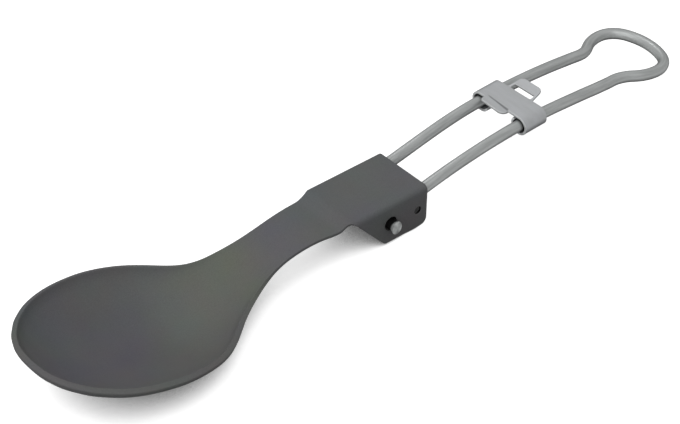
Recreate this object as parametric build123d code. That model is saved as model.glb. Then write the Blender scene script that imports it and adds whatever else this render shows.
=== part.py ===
from build123d import *
import math
import os

# A folding camping spoon in three pieces: a pressed sheet head with a folded channel at its rear, a handle
# bent from one wire whose ends are the pivot pins, and a sheet lock that slides along the wire's two legs.
# While it is drawn, X runs from the bowl's tip to the handle's loop, Y across, Z up, and the origin is the
# middle of the channel's rear edge on its top plate. The finished spoon is then stood on its bowl and flanges.

# Head
head_length = 92.25
sheet = 0.8
channel_length = 18.5
channel_width = 15.2
channel_bend = 1.4
flange_height = 9.05
flange_heel_inset = 0.25
flange_toe = 11.3
flange_toe_height = 9.2
flange_slant_drop = 1.7
flange_rear_corner = 1.5
flange_front_corner = 1.1
bowl_width = 39.0
bowl_depth = 7.66
rim_dip = 6.0
side_hole = 1.5
side_hole_back = 2.6
side_hole_drop = 4.9

# Handle wire
wire = 2.5
leg_spacing = 10.9
arch_radius = 160.0
arch_start_angle = 12.3
arch_reach = 52.05
loop_width = 17.35
loop_droop_angle = 2.0
loop_turn_radius = 9.0
loop_corner_radius = 5.5
loop_corner_angle = 66.0
loop_lift_radius = 25.0
pivot_back = 9.75
pivot_drop = 4.7
pin_bend_radius = 1.3
pin_proud = 2.0
heel_bend_radius = 12.0
heel_back = 1.0

# Slide lock
lock_sheet = 0.55
lock_length = 6.6
lock_place = 26.1
curl_angle = 150.0
tongue_width = 7.0
tongue_aside = 0.9
tongue_length = 2.1
tongue_proud = 0.8
tongue_drop = 0.4
tongue_corner = 0.7
tab_width = 7.0
tab_length = 3.7
tab_rise_angle = 12.0
tab_corner = 1.2
slot_width = 5.9
slot_length = 1.3
slot_inset = 0.05

# Fits
pin_clearance = 0.25
stop_clearance = 0.25
curl_clearance = 0.4
lock_front_gap = 1.2
lock_overtravel = 1.0
overrun = 5.0

# The blade, from the tip to the channel: how far along it, how wide, how far its rim dips below the top plate,
# how deep the hollow is below the rim, and how square its section is (2 is an ellipse).
blade_shares = [
    (0.004, 0.110, 0.045, 0.00, 2.0),
    (0.011, 0.203, 0.058, 0.05, 2.0),
    (0.018, 0.306, 0.077, 0.25, 2.0),
    (0.035, 0.440, 0.118, 0.38, 2.1),
    (0.061, 0.582, 0.175, 0.54, 2.2),
    (0.102, 0.736, 0.246, 0.72, 2.2),
    (0.161, 0.878, 0.341, 0.87, 2.2),
    (0.236, 0.971, 0.452, 0.95, 2.2),
    (0.316, 1.003, 0.583, 1.00, 2.2),
    (0.398, 0.968, 0.716, 1.00, 2.2),
    (0.473, 0.866, 0.846, 0.90, 2.2),
    (0.533, 0.704, 0.917, 0.70, 2.3),
    (0.601, 0.494, 0.895, 0.39, 2.5),
    (0.682, 0.353, 0.606, 0.15, 2.8),
    (0.778, 0.295, 0.299, 0.05, 3.2),
    (0.887, 0.312, 0.143, 0.01, 3.6),
    (0.960, 0.340, 0.157, 0.00, 3.8),
    (1.000, 0.352, 0.039, 0.00, 4.0),
]
least_hollow_share = 0.15
section_points = 13

# Worked out from the sizes above
blade_length = head_length - channel_length
half_channel = channel_width / 2
leg = leg_spacing / 2
wire_radius = wire / 2
curl_inner = wire_radius + curl_clearance
curl_outer = curl_inner + lock_sheet
leg_start_height = -(sheet + stop_clearance + wire_radius / math.cos(math.radians(arch_start_angle)))
arch_centre = Vector(
    arch_radius * math.sin(math.radians(arch_start_angle)),
    0,
    leg_start_height - arch_radius * math.cos(math.radians(arch_start_angle)),
)
pivot = Vector(-pivot_back, 0, -pivot_drop)


def arch_angle(x):
    """The legs' slope, in degrees, at a place along the spoon."""
    return math.degrees(math.asin((arch_centre.X - x) / arch_radius))


def arch_point(x, side=0):
    """The legs' centre line at a place along the spoon."""
    return Vector(x, side, arch_centre.Z + arch_radius * math.cos(math.radians(arch_angle(x))))


def superellipse(half_width, depth, squareness):
    """Points of half a superellipse that hangs between -half_width and half_width."""
    power = 2 / squareness
    points = []
    for step in range(section_points):
        angle = math.pi * step / (section_points - 1)
        across = math.copysign(abs(math.cos(angle)) ** power, -math.cos(angle))
        points.append((half_width * across, -depth * math.sin(angle) ** power))
    points[0], points[-1] = (-half_width, 0), (half_width, 0)
    return points


def blade_section(row, slope):
    """One closed section across the blade: the sheet between its hollow and its outside."""
    along, width, dip, hollow, squareness = row
    x = -head_length + along * blade_length
    rim = -dip * rim_dip
    outside = width * bowl_width / 2
    inside = max(outside - sheet * math.hypot(1, slope), least_hollow_share * outside)
    lower = superellipse(outside, hollow * bowl_depth + sheet, squareness)
    upper = superellipse(inside, hollow * bowl_depth, squareness)
    lower = [Vector(x, y, rim + z) for y, z in lower]
    upper = [Vector(x, y, rim + z) for y, z in reversed(upper)]
    edges = [
        Edge.make_spline(lower),
        Edge.make_line(lower[-1], upper[0]),
        Edge.make_spline(upper),
        Edge.make_line(upper[-1], lower[0]),
    ]
    return Wire(edges)


def blade():
    """The bowl and the neck, lofted through their sections."""
    sections = []
    for index, row in enumerate(blade_shares):
        before = blade_shares[max(index - 1, 0)]
        after = blade_shares[min(index + 1, len(blade_shares) - 1)]
        slope = (after[1] - before[1]) * bowl_width / 2 / ((after[0] - before[0]) * blade_length)
        sections.append(blade_section(row, slope))
    return Solid.make_loft(sections)


def rest_lean():
    """The angle that brings the flanges' heels and the bowl's bottom to one level."""
    angles = []
    for along, width, dip, hollow, squareness in blade_shares:
        bottom = dip * rim_dip + hollow * bowl_depth + sheet
        reach = head_length - along * blade_length - flange_heel_inset - flange_rear_corner
        angles.append(math.atan2(bottom - flange_height, reach))
    return max(angles)


def corner_near(face, x, y):
    """The corner of a flat outline that lies nearest to a place."""
    return min(face.vertices(), key=lambda corner: math.hypot(corner.X - x, corner.Y - y))


def channel():
    """The top plate with a flange folded down at each side, both flanges with a slanted front."""
    outer = Pos(0, -flange_toe_height / 2) * Rectangle(channel_width, flange_toe_height)
    outer = fillet(outer.vertices().group_by(Axis.Y)[-1], channel_bend)
    inner = Pos(0, -sheet - flange_toe_height / 2) * Rectangle(channel_width - 2 * sheet, flange_toe_height)
    inner = fillet(inner.vertices().group_by(Axis.Y)[-1], channel_bend - sheet)
    folded = extrude(Plane.YZ * (outer - inner), amount=-channel_length)
    side = Polygon(
        (-channel_length, 0),
        (0, 0),
        (-flange_heel_inset, -flange_height),
        (-flange_toe, -flange_toe_height),
        (-channel_length, -flange_slant_drop),
        align=None,
    )
    side = fillet(corner_near(side, -flange_heel_inset, -flange_height), flange_rear_corner)
    side = fillet(corner_near(side, -flange_toe, -flange_toe_height), flange_front_corner)
    return folded & extrude(Plane.XZ * side, amount=channel_width, both=True)


def spoon_head():
    """The pressed sheet head with its pivot holes and its side holes."""
    head = blade() + channel()
    pivot_hole = Cylinder(wire_radius + pin_clearance, channel_width + 2 * overrun, rotation=(90, 0, 0))
    small_hole = Cylinder(side_hole / 2, channel_width + 2 * overrun, rotation=(90, 0, 0))
    return head - Pos(pivot) * pivot_hole - Pos(-side_hole_back, 0, -side_hole_drop) * small_hole


def bent(start, heading, radius, turn):
    """A bend in a flat pair of values: where it ends and the heading it ends on. A left turn is positive."""
    sign = math.copysign(1, turn)
    centre = (start[0] - sign * radius * math.sin(heading), start[1] + sign * radius * math.cos(heading))
    heading = heading + turn
    end = (centre[0] + sign * radius * math.sin(heading), centre[1] - sign * radius * math.cos(heading))
    return end, heading


def heel():
    """Where the straight heel of a leg starts to bend into the arch, and the heel's slope."""
    joint = arch_point(-heel_back)
    slope = math.radians(arch_angle(-heel_back))
    centre = joint + Vector(math.sin(slope), 0, -math.cos(slope)) * heel_bend_radius
    reach = centre - pivot
    heel_slope = math.atan2(reach.Z, reach.X) + math.asin(heel_bend_radius / reach.length)
    start = centre + Vector(-math.sin(heel_slope), 0, math.cos(heel_slope)) * heel_bend_radius
    return start, heel_slope


def wire_path():
    """The centre line of half the wire, from its pin to the middle of the loop's end."""
    across = Vector(0, leg, 0)
    heel_start, heel_slope = heel()
    heel_way = Vector(math.cos(heel_slope), 0, math.sin(heel_slope))
    pin_end = pivot + Vector(0, half_channel + pin_proud, 0)
    bend_start = pivot + Vector(0, leg + pin_bend_radius, 0)
    bend_end = pivot + across + heel_way * pin_bend_radius
    edges = [Line(pin_end, bend_start).edge()]
    edges.append(Edge.make_tangent_arc(bend_start, Vector(0, -1, 0), bend_end))
    edges.append(Line(bend_end, heel_start + across).edge())
    edges.append(Edge.make_tangent_arc(heel_start + across, heel_way, arch_point(-heel_back, leg)))
    edges.append(Edge.make_three_point_arc(
        arch_point(-heel_back, leg),
        arch_point(arch_reach / 2, leg),
        arch_point(arch_reach, leg),
    ))
    slope = math.radians(arch_angle(arch_reach))
    lift = -math.radians(loop_droop_angle) - slope
    tail = arch_point(arch_reach)
    flat_end, flat_heading = bent((tail.X, tail.Z), slope, loop_lift_radius, lift)
    loop_start = Vector(flat_end[0], leg, flat_end[1])
    edges.append(Edge.make_tangent_arc(
        arch_point(arch_reach, leg),
        Vector(math.cos(slope), 0, math.sin(slope)),
        loop_start,
    ))
    loop_way = Vector(math.cos(flat_heading), 0, math.sin(flat_heading))
    return edges + loop_edges(loop_start, loop_way)


def loop_edges(start, way):
    """Half of the keyhole loop: out, back, round the corner and across the blunt end."""
    spread = (loop_width / 2 - leg) / 2
    swing = math.acos(1 - spread / loop_turn_radius)
    corner = math.radians(loop_corner_angle)
    last = math.pi / 2 - corner
    turns = [(loop_turn_radius, swing), (loop_turn_radius, -swing), (loop_corner_radius, -corner)]
    place, heading = (0, leg), 0
    edges = []
    for radius, turn in turns:
        end, after = bent(place, heading, radius, turn)
        edges.append(flat_arc(start, way, place, heading, end))
        place, heading = end, after
    end_radius = place[1] / math.sin(last)
    end, after = bent(place, heading, end_radius, -last)
    edges.append(flat_arc(start, way, place, heading, (end[0], 0)))
    return edges


def flat_arc(start, way, place, heading, end):
    """An arc in the loop's plane, from a place and heading there to its end."""
    def lay(spot):
        return Vector(start.X, 0, start.Z) + way * spot[0] + Vector(0, spot[1], 0)
    direction = way * math.cos(heading) + Vector(0, math.sin(heading), 0)
    return Edge.make_tangent_arc(lay(place), direction, lay(end))


def wire_handle():
    """The whole wire: half of it swept along its path, with its mirror image."""
    path = Wire(wire_path())
    section = Plane(origin=path @ 0, z_dir=path % 0) * Circle(wire_radius)
    half = sweep(section, path=path)
    return half + mirror(half, about=Plane.XZ)


def lock_section():
    """The lock's section across the legs: a plate that curls round each leg."""
    plate = Pos(0, (curl_inner + curl_outer) / 2) * Rectangle(leg_spacing, lock_sheet)
    ring = Circle(curl_outer) - Circle(curl_inner)
    lip = math.radians(curl_angle)
    reach = 2 * curl_outer
    open_side = Polygon(
        (0, 0),
        (0, reach),
        (-reach, reach),
        (-reach, -reach),
        (-reach * math.sin(lip - math.pi / 2), -reach * math.cos(lip - math.pi / 2)),
        align=None,
    )
    curl = ring - open_side
    return plate + Pos(leg, 0) * curl + mirror(Pos(leg, 0) * curl, about=Plane.YZ)


def lock_tongue():
    """The lowered tongue at the lock's front, with the joggle that drops it below the plate."""
    front = -lock_length / 2 - tongue_proud
    back = front + tongue_length
    top = curl_outer - tongue_drop
    side = Polygon(
        (front, top),
        (back - lock_sheet, top),
        (back, curl_outer),
        (back + lock_sheet, curl_outer),
        (back + lock_sheet, curl_inner),
        (back + lock_sheet / 2, curl_inner),
        (back - lock_sheet / 2, top - lock_sheet),
        (front, top - lock_sheet),
        align=None,
    )
    tongue = Pos(0, tongue_aside, 0) * extrude(Plane.XZ * side, amount=tongue_width / 2, both=True)
    corners = tongue.edges().filter_by(Axis.Z).group_by(Axis.X)[0]
    return fillet(corners, tongue_corner)


def lock_tab():
    """The raised thumb tab at the lock's rear, with a slot at its root."""
    rise = math.radians(tab_rise_angle)
    root = lock_length / 2
    tip = (root + tab_length * math.cos(rise), curl_outer + tab_length * math.sin(rise))
    side = Polygon(
        (root - lock_sheet, curl_inner),
        (root + lock_sheet * math.tan(rise / 2), curl_inner),
        (tip[0] + lock_sheet * math.sin(rise), tip[1] - lock_sheet * math.cos(rise)),
        tip,
        (root, curl_outer),
        (root - lock_sheet, curl_outer),
        align=None,
    )
    tab = extrude(Plane.XZ * side, amount=tab_width / 2, both=True)
    corners = tab.edges().filter_by(lambda edge: abs(edge.tangent_at(0).Y) < abs(edge.tangent_at(0).Z))
    tab = fillet(corners.group_by(Axis.X)[-1], tab_corner)
    slot_middle = root + slot_inset + slot_length / 2
    return tab - Pos(slot_middle, 0, curl_outer) * Box(slot_length, slot_width, overrun)


def slide_lock():
    """The sheet lock on the legs, at its place between the channel and the loop."""
    body = extrude(Plane.YZ * lock_section(), amount=lock_length / 2, both=True)
    tongue_back = -lock_length / 2 - tongue_proud + tongue_length
    front_room = Box(overrun, tongue_width, lock_sheet * 3)
    front_room = Pos(tongue_back - overrun / 2, tongue_aside, curl_outer) * front_room
    lock = body - front_room + lock_tongue() + lock_tab()
    middle = lock_place + lock_length / 2
    return Pos(arch_point(middle)) * Rot(0, -arch_angle(middle), 0) * lock


def lock_travel():
    """How far the lock turns about the arch's centre from its place: to the channel, and past the arch's end."""
    half = lock_length / 2
    front = lock_front_gap + half * math.cos(math.radians(arch_start_angle))
    rear = arch_reach + lock_overtravel - half
    here = arch_angle(lock_place + half)
    return here - arch_angle(front), here - arch_angle(rear)


def stand(pieces):
    """The spoon set on its bowl and flanges, with the origin under the middle of it."""
    leaned = [Rot(0, math.degrees(rest_lean()), 0) * piece for piece in pieces]
    box = Compound(children=leaned).bounding_box()
    return Pos(-box.center().X, 0, -box.min.Z) * Rot(0, math.degrees(rest_lean()), 0)


def main():
    pieces = {"spoon_head": spoon_head(), "wire_handle": wire_handle(), "slide_lock": slide_lock()}
    placing = stand(list(pieces.values()))
    os.makedirs("parts", exist_ok=True)
    for name, piece in pieces.items():
        export_step(placing * piece, f"parts/{name}.step")
    print("lean, degrees", math.degrees(rest_lean()), "origin", placing.position)
    print("pivot", (placing * Pos(pivot)).position)
    print("arch centre", (placing * Pos(arch_centre)).position)
    print("lock travel, degrees", lock_travel())
    return pieces, placing


if __name__ == "__main__":
    main()
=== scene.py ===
import math

import bpy
import numpy as np
from mathutils import Matrix, Vector
from mathutils.geometry import delaunay_2d_cdt


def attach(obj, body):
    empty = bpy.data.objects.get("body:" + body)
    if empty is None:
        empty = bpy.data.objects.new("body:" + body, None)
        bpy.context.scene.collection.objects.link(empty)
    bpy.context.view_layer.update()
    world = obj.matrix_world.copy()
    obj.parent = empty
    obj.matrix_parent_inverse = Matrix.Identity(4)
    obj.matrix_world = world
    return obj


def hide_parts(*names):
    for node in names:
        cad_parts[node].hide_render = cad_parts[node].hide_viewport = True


bl_info = {
    "name": "Folding Spoon",
    "version": (1, 0, 0),
    "blender": (4, 5, 0),
    "location": "3D View > Sidebar > Spoon",
    "description": "Dresses a packed folding camping spoon: pressed head, wire handle and slide lock",
    "category": "Add Mesh",
}

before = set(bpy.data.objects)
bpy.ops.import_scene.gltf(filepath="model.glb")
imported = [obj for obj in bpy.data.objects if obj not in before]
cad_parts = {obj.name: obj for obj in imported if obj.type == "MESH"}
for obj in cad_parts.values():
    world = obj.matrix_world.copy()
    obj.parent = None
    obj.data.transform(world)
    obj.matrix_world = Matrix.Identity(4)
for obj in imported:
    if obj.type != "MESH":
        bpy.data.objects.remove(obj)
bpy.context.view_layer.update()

mm = 0.001

# The pieces are drawn with X from the bowl's tip to the handle's loop, Y across, Z up, and the origin in the
# middle of the channel's rear edge, on its top plate. This leans that frame and sets it on the floor.
lean = math.radians(3.8266)
standing = Matrix.Translation((10.1618 * mm, 0, 8.9387 * mm)) @ Matrix.Rotation(lean, 4, "Y")

# The blade, from the tip to the channel: how far along it, how wide, how far its rim dips below the top
# plate, and how strongly it is dished, all as shares of the sizes they follow.
blade_shares = [
    (0.000, 0.000, 0.080, 1.50),
    (0.003, 0.132, 0.096, 1.50),
    (0.008, 0.245, 0.113, 1.50),
    (0.019, 0.359, 0.140, 1.50),
    (0.033, 0.467, 0.175, 1.48),
    (0.052, 0.565, 0.215, 1.41),
    (0.074, 0.663, 0.257, 1.34),
    (0.101, 0.751, 0.301, 1.26),
    (0.131, 0.831, 0.350, 1.18),
    (0.166, 0.899, 0.405, 1.10),
    (0.204, 0.950, 0.461, 1.04),
    (0.248, 0.987, 0.527, 1.01),
    (0.294, 1.006, 0.604, 1.00),
    (0.346, 1.003, 0.683, 1.03),
    (0.401, 0.968, 0.777, 1.09),
    (0.460, 0.891, 0.881, 1.18),
    (0.523, 0.735, 0.958, 1.32),
    (0.591, 0.519, 0.946, 1.45),
    (0.662, 0.378, 0.693, 1.30),
    (0.738, 0.306, 0.410, 0.95),
    (0.817, 0.295, 0.212, 0.50),
    (0.902, 0.317, 0.147, 0.10),
    (0.960, 0.339, 0.157, -0.10),
    (1.000, 0.351, 0.039, -0.10),
]

# Where the head's tints lie, in millimetres on the standing spoon: the middle of each, how far it is whole,
# where it is gone, and the colour it brings. The bowl's tone is painted shade, the warm tint is a painted
# highlight tinted olive, and the cool tint is a violet tone of the metal.
head_tints = [
    ((-66, 0, 6), 16, 40, "head_bowl_shade"),
    ((-66, 4, 5), 4, 20, "head_cool"),
    ((-38, 1, 4), 2, 17, "head_warm_highlight"),
]

# Where each leg starts to bow out, is furthest out, starts to come back and is back, in millimetres behind
# the channel: the near leg, on the side of -Y, and the far leg.
near_bow_stations = (27, 44, 48, 56)
far_bow_stations = (3, 25, 53, 58)


def size(name, description, default):
    """A length that a user can change, in metres."""
    return bpy.props.FloatProperty(
        name=name, description=description, default=default, min=0.01 * mm, unit="LENGTH", precision=5)


def turn(name, description, default):
    """An angle that a user can change, given in degrees and kept in radians."""
    return bpy.props.FloatProperty(
        name=name, description=description, default=math.radians(default), subtype="ANGLE")


def colour(name, description, default):
    """A linear colour that a user can change."""
    return bpy.props.FloatVectorProperty(
        name=name, description=description, default=default, subtype="COLOR", size=3, min=0, max=1)


def share(name, description, default):
    """A share from nothing to all."""
    return bpy.props.FloatProperty(
        name=name, description=description, default=default, subtype="FACTOR", min=0, max=1)


class SpoonHeadSizes(bpy.types.PropertyGroup):
    """Sizes of the pressed sheet head."""
    length: size("Length", "From the bowl's tip to the channel's rear edge", 91.9 * mm)
    sheet: size("Sheet", "Thickness of the sheet", 0.8 * mm)
    edge: size("Edge rounding", "How far the upper side of the sheet's cut edges is rounded", 0.12 * mm)
    under_edge: size("Under edge rounding", "How far the lower side of the cut edges is rounded", 0.3 * mm)
    bowl_width: size("Bowl width", "Widest place of the bowl, rim to rim", 39.1 * mm)
    bowl_depth: size("Bowl depth", "Depth of the hollow at the bowl's widest place, below its lip", 6.5 * mm)
    rim_sheet: size("Rim sheet", "Thickness of the sheet at the bowl's rim", 1.3 * mm)
    rim_fade: size("Rim fade", "How far in from the rim the sheet thins to its usual thickness", 1.5 * mm)
    lip_depth: size("Lip depth", "How far the bowl's wall drops steeply from its rim", 1.0 * mm)
    lip_reach: size("Lip reach", "How far in from the rim that steep wall fades", 0.55 * mm)
    rim_dip: size("Rim dip", "How far the rim dips below the channel's top plate", 6.0 * mm)
    channel_length: size("Channel length", "Length of the channel's top plate", 18.5 * mm)
    channel_width: size("Channel width", "Outside width over both flanges", 15.2 * mm)
    channel_bend: size("Channel bend", "Outside radius of the two folds", 1.1 * mm)
    flange_height: size("Flange height", "Depth of the flanges at the rear", 9.05 * mm)
    flange_toe: size("Flange toe", "How far ahead of the rear edge the flange is deepest", 11.3 * mm)
    toe_drop: size("Toe drop", "How much deeper the flange is at its toe than at its heel", 0.15 * mm)
    heel_inset: size("Heel inset", "How far the flange's rear edge slants in towards its heel", 0.25 * mm)
    toe_corner: size("Toe corner", "Radius of the flange's toe", 1.1 * mm)
    heel_corner: size("Heel corner", "Radius of the flange's heel", 1.5 * mm)
    ear_fillet: size("Ear fillet", "Radius where the neck widens into the flange", 2.6 * mm)
    pivot_back: size("Pivot back", "Distance of the pivot ahead of the rear edge", 9.75 * mm)
    pivot_drop: size("Pivot drop", "Distance of the pivot below the top plate", 4.7 * mm)
    pivot_hole: size("Pivot hole", "Diameter of the holes that the wire's ends turn in", 3.1 * mm)
    side_hole_back: size("Side hole back", "Distance of the small hole ahead of the rear edge", 2.6 * mm)
    side_hole_drop: size("Side hole drop", "Distance of the small hole below the top plate", 4.9 * mm)
    side_hole: size("Side hole", "Diameter of the small hole in each flange", 1.75 * mm)


class SpoonHandleSizes(bpy.types.PropertyGroup):
    """Sizes of the bent wire handle."""
    wire: size("Wire", "Diameter of the wire", 2.5 * mm)
    leg_spacing: size("Leg spacing", "Distance between the two legs' centre lines", 10.9 * mm)
    arch_radius: size("Arch radius", "Radius of the legs' long arch, seen from the side", 160 * mm)
    arch_reach: size("Arch reach", "Where the arch ends and the loop's bends begin", 52.05 * mm)
    arch_start: turn("Arch start", "Slope of the legs where they leave the channel", 12.3)
    loop_width: size("Loop width", "Distance between the loop's centre lines at its widest", 17.35 * mm)
    loop_turn: size("Loop shoulders", "Radius of the bends that open the loop", 9.0 * mm)
    loop_corner: size("Loop corners", "Radius of the loop's two rear corners", 5.5 * mm)
    loop_corner_turn: turn("Loop corner turn", "How far each rear corner turns", 66)
    loop_lift: size("Loop lift", "Radius of the bend between the arch and the loop", 25 * mm)
    loop_droop: turn("Loop droop", "How far the loop slopes down towards its end", 2.0)
    pin_bend: size("Pin bend", "Radius of the bend from each leg to its pivot pin", 1.3 * mm)
    pin_proud: size("Pin proud", "How far each pin stands out of its flange", 2.0 * mm)
    pin_chamfer: size("Pin chamfer", "Chamfer round each pin's end", 0.2 * mm)
    pin_pinch: share("Pin pinch", "How much taller the cutter has left each pin's end", 0.22)
    pinch_run: size("Pinch run", "How far from each end the wire has its full roundness back", 0.7 * mm)
    stop_gap: size("Stop gap", "Gap between the legs and the underside of the top plate", 0.25 * mm)
    heel_bend: size("Heel bend", "Radius of the bend under the channel's top plate", 12 * mm)
    heel_back: size("Heel back", "Where that bend meets the arch", 1.0 * mm)
    near_bow: size("Near bow", "How far the near leg bows outwards on its way to the loop", 0.34 * mm)
    far_bow: size("Far bow", "How far the far leg bows outwards on its way to the loop", 0.66 * mm)


class SpoonLockSizes(bpy.types.PropertyGroup):
    """Sizes of the slide lock."""
    place: size("Place", "From the channel's rear edge to the lock's front edge", 26.65 * mm)
    length: size("Length", "Length of the plate along the legs", 6.1 * mm)
    curl_spacing: size("Curl spacing", "Distance between the middles of the two curls", 11.66 * mm)
    aside: size("Aside", "How far the lock has shifted towards the far leg", 0.38 * mm)
    sheet: size("Sheet", "Thickness of the sheet", 0.55 * mm)
    edge: size("Edge rounding", "How far the sheet's cut edges are rounded", 0.1 * mm)
    clearance: size("Clearance", "Gap between the wire and the inside of each curl", 0.4 * mm)
    near_curl: turn("Near curl", "How far the near side curls round its leg, from the top", 300)
    far_curl: turn("Far curl", "How far the far side curls round its leg, from the top", 232)
    far_room: size("Far room", "Flat run that clears the far leg where it is straight", 0.5 * mm)
    corner: size("Corners", "Radius of the curls' corners", 0.5 * mm)
    askew: turn("Askew", "How far the loose lock has turned on its legs", 1.1)
    tongue_width: size("Tongue width", "Width of the lowered tongue", 6.6 * mm)
    tongue_aside: size("Tongue aside", "How far the tongue's middle lies from the plate's", 0.87 * mm)
    tongue_length: size("Tongue length", "Length of the lowered tongue", 1.9 * mm)
    tongue_proud: size("Tongue proud", "How far the tongue stands out ahead of the plate", 1.3 * mm)
    tongue_drop: size("Tongue drop", "How far the tongue's near side lies below the plate", 0.45 * mm)
    tongue_corner: size("Tongue corners", "Radius of the tongue's corners", 1.5 * mm)
    joggle: size("Joggle", "Length of the step that lowers the tongue", 0.14 * mm)
    slit: size("Slit", "Width of the cut at the tongue's near side", 0.14 * mm)
    tab_width: size("Tab width", "Width of the raised thumb tab", 7.1 * mm)
    tab_length: size("Tab length", "Length of the thumb tab", 3.7 * mm)
    tab_taper: size("Tab taper", "How much each side of the tab comes in towards its end", 0.6 * mm)
    tab_corner: size("Tab corners", "Radius of the thumb tab's corners", 1.2 * mm)
    tab_rise: turn("Tab rise", "How far the thumb tab is bent up", 12)
    tab_bend: size("Tab bend", "Radius of the bend at the tab's root", 1.2 * mm)
    slot_width: size("Slot width", "Width of the slot at the tab's root, across the legs", 5.9 * mm)
    slot_length: size("Slot length", "Length of that slot along the legs", 1.3 * mm)
    slot_inset: size("Slot inset", "How far the slot starts behind the plate", 0.01 * mm)


class SpoonFinish(bpy.types.PropertyGroup):
    """Colours and textures of the metals, with the head's painted shade and painted highlight tints."""
    head: colour("Head", "Dark matte titanium of the head", (0.158, 0.162, 0.165))
    # Painted shade: the bowl is drawn a little darker than the rest of the head, as shade falls in it.
    head_bowl_shade: colour("Head, bowl", "Tone of the bowl", (0.150, 0.154, 0.153))
    # Painted highlight: where the bowl rises to the neck it is drawn lighter and olive, as light falls there.
    head_warm_highlight: colour("Head, warm tint", "Olive tint where the bowl rises to the neck", (0.172, 0.180, 0.160))
    head_cool: colour("Head, cool tint", "Violet tint in the bowl", (0.142, 0.139, 0.155))
    head_worn: colour("Head, worn edge", "Rubbed edge of the head's sheet", (0.17, 0.175, 0.17))
    wire: colour("Wire", "Drawn titanium wire", (0.66, 0.68, 0.675))
    wire_dark: colour("Wire, dark streaks", "Darker streaks along the wire", (0.50, 0.52, 0.515))
    lock: colour("Lock", "Rolled titanium sheet of the lock", (0.67, 0.685, 0.705))
    lock_dark: colour("Lock, dark grain", "Darker grain of the lock's sheet", (0.62, 0.635, 0.645))
    lock_worn: colour("Lock, cut edge", "Bright cut edges of the lock's sheet", (0.92, 0.94, 0.94))
    head_grain: size("Head grain", "Size of the blasted grain on the head", 0.22 * mm)
    metal_grain: size("Metal grain", "Length of the drawn and rolled streaks", 1.6 * mm)
    wear: share("Wear", "How much of each edge is rubbed bright", 0.5)


class SpoonStage(bpy.types.PropertyGroup):
    """The camera, the floor and the lamps."""
    azimuth: turn("Azimuth", "The camera's direction, round from straight in front", -40.025)
    elevation: turn("Elevation", "The camera's height above the top plate's plane", 38.102)
    distance: size("Distance", "From the camera to the origin's plane", 500 * mm)
    right: size("Right", "How far the view's middle lies left of the origin", 12.788 * mm)
    above: size("Above", "How far the view's middle lies below the origin", 8.813 * mm)
    focal_pixels: bpy.props.FloatProperty(
        name="Focal length", description="Focal length in pixels of a 680 pixel wide view", default=2468.54)
    view_width: bpy.props.FloatProperty(
        name="View width", description="Width of the view in pixels", default=680)
    floor: colour("Floor", "The floor as lamps and diffuse light see it", (0.12, 0.12, 0.12))
    backdrop: colour("Backdrop", "The floor as the camera and reflections see it", (1, 1, 1))
    floor_glow: share("Floor glow", "How far the camera sees the floor white by itself", 0.70)


def spline(stations, values, places):
    """A natural cubic curve through the values at the stations, read at the places."""
    stations, values = np.asarray(stations, float), np.asarray(values, float)
    gaps = np.diff(stations)
    slopes = np.diff(values) / gaps
    count = len(stations)
    system = np.eye(count)
    right = np.zeros(count)
    for i in range(1, count - 1):
        system[i, i - 1:i + 2] = gaps[i - 1], 2 * (gaps[i - 1] + gaps[i]), gaps[i]
        right[i] = 3 * (slopes[i] - slopes[i - 1])
    bend = np.linalg.solve(system, right)
    i = np.clip(np.searchsorted(stations, places, side="right") - 1, 0, count - 2)
    step = places - stations[i]
    cubic = (bend[i + 1] - bend[i]) / (3 * gaps[i])
    linear = slopes[i] - gaps[i] * (2 * bend[i] + bend[i + 1]) / 3
    return values[i] + step * (linear + step * (bend[i] + step * cubic))


def smooth_step(value):
    """From 0 to 1 with soft ends."""
    value = np.clip(value, 0, 1)
    return value * value * (3 - 2 * value)


def rounded(corners, radii, step):
    """A path through the corners, each rounded to its radius, as points about a step apart."""
    points = [np.array(corners[0], float)]
    for before, corner, after, radius in zip(corners, corners[1:], corners[2:], radii):
        corner = np.array(corner, float)
        back, ahead = np.array(before) - corner, np.array(after) - corner
        back, ahead = back / np.hypot(*back), ahead / np.hypot(*ahead)
        half = math.acos(np.clip(back @ ahead, -1, 1)) / 2
        reach = radius / math.tan(half)
        centre = corner + (back + ahead) / np.hypot(*(back + ahead)) * radius / math.sin(half)
        first, last = corner + back * reach - centre, corner + ahead * reach - centre
        start = math.atan2(first[1], first[0])
        swing = (math.atan2(last[1], last[0]) - start + math.pi) % (2 * math.pi) - math.pi
        steps = max(4, math.ceil(abs(swing) * radius / step))
        for k in range(steps + 1):
            angle = start + swing * k / steps
            points.append(centre + radius * np.array((math.cos(angle), math.sin(angle))))
    points.append(np.array(corners[-1], float))
    return respaced(np.array(points), step)


def respaced(points, step):
    """Long straight runs of a path divided into steps, with its own points kept."""
    out = [points[0]]
    for a, b in zip(points, points[1:]):
        parts = max(1, round(np.hypot(*(b - a)) / step))
        out.extend(a + (b - a) * k / parts for k in range(1, parts + 1))
    return np.array(out)


def ring(centre, radius, count):
    """A round hole's outline."""
    turns = np.linspace(0, 2 * np.pi, count, endpoint=False)
    return np.stack([centre[0] + radius * np.cos(turns), centre[1] + radius * np.sin(turns)], 1)


def inside(loops, points):
    """Which points lie in the first loop and in none of the others."""
    crossings = np.zeros(len(points), int)
    for loop in loops:
        for a, b in zip(loop, np.roll(loop, -1, axis=0)):
            spans = (a[1] > points[:, 1]) != (b[1] > points[:, 1])
            rise = np.where(b[1] == a[1], 1, b[1] - a[1])
            meets = a[0] + (points[:, 1] - a[1]) * (b[0] - a[0]) / rise
            crossings += spans & (points[:, 0] < meets)
    return crossings % 2 == 1


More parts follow.
